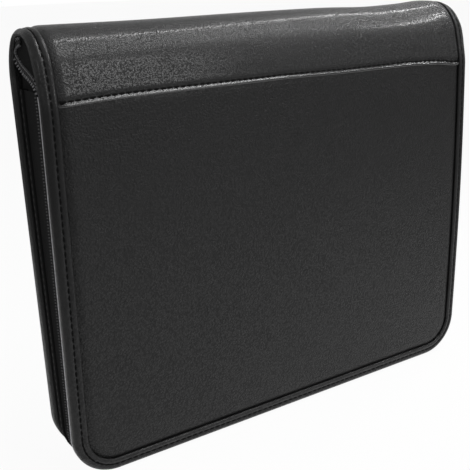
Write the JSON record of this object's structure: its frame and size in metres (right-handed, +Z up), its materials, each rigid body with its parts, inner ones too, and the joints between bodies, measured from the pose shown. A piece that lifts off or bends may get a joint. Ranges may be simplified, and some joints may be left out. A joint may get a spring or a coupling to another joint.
{
  "type": "zip-around document folder",
  "caption": "Black leather zip-around document folder with a rounded spine, bound and stitched edges, a side gusset and a small ring mechanism inside.",
  "frame": {"origin": "centre of the box around the closed folder, at the fore edges it stands on", "axes": "+X along the spine to the right, -Y out of the front cover, +Z up to the spine"},
  "size_m": [0.343, 0.0544, 0.2836],
  "materials": {
    "leather": "fine pebbled grain, semi-gloss",
    "lining": "matte woven lining",
    "board": "raw grey board",
    "foam": "thin felt wadding",
    "tape": "woven zip tape",
    "teeth": "moulded coil, satin",
    "slider": "black enamel",
    "ring_metal": "bright nickel plate"
  },
  "bodies": {
    "rear_cover": {"rear_binding": "leather", "rear_panel": "leather", "rear_padding": "foam", "rear_board": "board", "rear_lining": "lining", "rear_upper_panel": "leather", "gusset_wall": "leather", "gusset_welt": "leather", "rear_zip_tape": "tape", "rear_zip_teeth": "teeth", "pad_sleeve": "leather"},
    "spine": {"spine_leather": "leather", "spine_binding_left": "leather", "spine_binding_right": "leather", "spine_padding": "foam", "spine_board": "board", "spine_lining": "lining", "ring_cover_plate": "ring_metal", "ring_rivet_left": "ring_metal", "ring_rivet_right": "ring_metal", "zip_end_left": "teeth", "zip_end_tape_left": "tape", "zip_end_tape_right": "tape"},
    "front_cover": {"front_binding": "leather", "front_lower_panel": "leather", "front_upper_panel": "leather", "front_padding": "foam", "front_board": "board", "front_lining": "lining", "front_zip_tape": "tape", "front_zip_teeth": "teeth", "zip_stub_left": "teeth", "zip_stub_right": "teeth", "document_pocket": "leather", "card_pocket_1": "leather", "card_pocket_2": "leather", "card_pocket_3": "leather", "pen_loop": "leather"},
    "slider": {"zip_slider": "slider", "zip_slider_inner": "slider"},
    "pull": {"zip_pull": "slider"},
    "rail_front": {"ring_rail_front": "ring_metal"},
    "rail_rear": {"ring_rail_rear": "ring_metal"},
    "lever_left": {"ring_lever_left": "ring_metal"},
    "lever_right": {"ring_lever_right": "ring_metal"}
  },
  "joints": [
    {"name": "rear_hinge", "type": "hinge", "parent": "rear_cover", "child": "spine", "pos_m": [0, 0.02725, 0.254], "axis": [-1, 0, 0], "range_deg": [0, 90]},
    {"name": "front_hinge", "type": "hinge", "parent": "spine", "child": "front_cover", "pos_m": [0, -0.02725, 0.254], "axis": [-1, 0, 0], "range_deg": [0, 90]},
    {"name": "zip_slide", "type": "slide", "parent": "front_cover", "child": "slider", "axis": [0.0222, 0, -0.9998], "range_m": [0, 0.19]},
    {"name": "pull_swing", "type": "hinge", "parent": "slider", "child": "pull", "pos_m": [0.1679, -0.01495, 0.2358], "axis": [0, -1, 0], "range_deg": [0, 100]},
    {"name": "ring_front", "type": "hinge", "parent": "spine", "child": "rail_front", "pos_m": [0, -0.009, 0.2639], "axis": [-1, 0, 0], "range_deg": [0, 14]},
    {"name": "ring_rear", "type": "hinge", "parent": "spine", "child": "rail_rear", "pos_m": [0, 0.009, 0.2639], "axis": [1, 0, 0], "range_deg": [0, 14]},
    {"name": "lever_left", "type": "hinge", "parent": "spine", "child": "lever_left", "pos_m": [-0.1467, 0, 0.2629], "axis": [0, 1, 0], "range_deg": [0, 30]},
    {"name": "lever_right", "type": "hinge", "parent": "spine", "child": "lever_right", "pos_m": [0.1417, 0, 0.2629], "axis": [0, -1, 0], "range_deg": [0, 30]}
  ],
  "couplings": [
    {"joint": "ring_rear", "follows": "ring_front", "ratio": 1},
    {"joint": "lever_left", "follows": "ring_front", "ratio": 2.1429},
    {"joint": "lever_right", "follows": "ring_front", "ratio": 2.1429}
  ]
}
